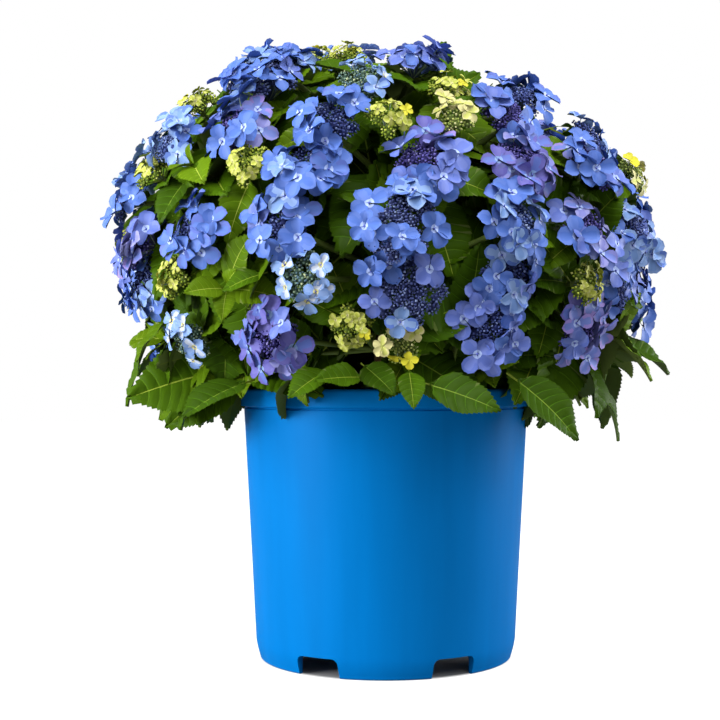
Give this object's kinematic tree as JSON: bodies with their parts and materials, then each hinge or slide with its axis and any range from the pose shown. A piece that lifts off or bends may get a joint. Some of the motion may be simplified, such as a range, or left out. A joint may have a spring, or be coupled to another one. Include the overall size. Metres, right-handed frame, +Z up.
{
  "type": "lacecap hydrangea shrub in a nursery pot",
  "caption": "Domed lacecap hydrangea shrub in blue flower, growing in a round tapered nursery pot with a rolled rim and notched feet; stands on its pot.",
  "frame": {"origin": "on the pot's axis, at the level of the undersides of the pot's feet", "axes": "+Z up along the pot's axis, -Y the front of the plant, +X to the right of someone who faces it"},
  "size_m": [0.4538, 0.4388, 0.5006],
  "materials": {
    "pot": "blue satin polypropylene, moulded",
    "soil": "dark peaty potting mix",
    "bark": "thin tan to reddish brown bark with lenticels",
    "foliage": "satin green leaf blades with paler veins",
    "blossom": "soft matte sepals in blues and violets"
  },
  "bodies": {
    "root": {"pot": "pot", "soil": "soil", "cane_1": "bark", "cane_2": "bark", "cane_3": "bark", "cane_4": "bark", "cane_5": "bark", "cane_6": "bark", "cane_core": "bark", "bough_low_1": "bark", "bough_low_2": "bark", "bough_low_3": "bark", "bough_low_4": "bark", "bough_low_5": "bark", "bough_low_6": "bark", "bough_mid_1": "bark", "bough_mid_2": "bark", "bough_mid_3": "bark", "bough_mid_4": "bark", "bough_mid_5": "bark", "bough_mid_6": "bark", "bough_high_1": "bark", "bough_high_2": "bark", "bough_high_3": "bark", "bough_high_4": "bark", "bough_high_5": "bark", "bough_high_6": "bark", "bough_top_1": "bark", "bough_top_2": "bark", "bough_top_3": "bark", "mass_low_1": "foliage", "mass_low_2": "foliage", "mass_low_3": "foliage", "mass_low_4": "foliage", "mass_low_5": "foliage", "mass_low_6": "foliage", "mass_mid_1": "foliage", "mass_mid_2": "foliage", "mass_mid_3": "foliage", "mass_mid_4": "foliage", "mass_mid_5": "foliage", "mass_mid_6": "foliage", "mass_high_1": "foliage", "mass_high_2": "foliage", "mass_high_3": "foliage", "mass_high_4": "foliage", "mass_high_5": "foliage", "mass_high_6": "foliage", "mass_top_1": "foliage", "mass_top_2": "foliage", "mass_top_3": "foliage"}
  },
  "joints": []
}
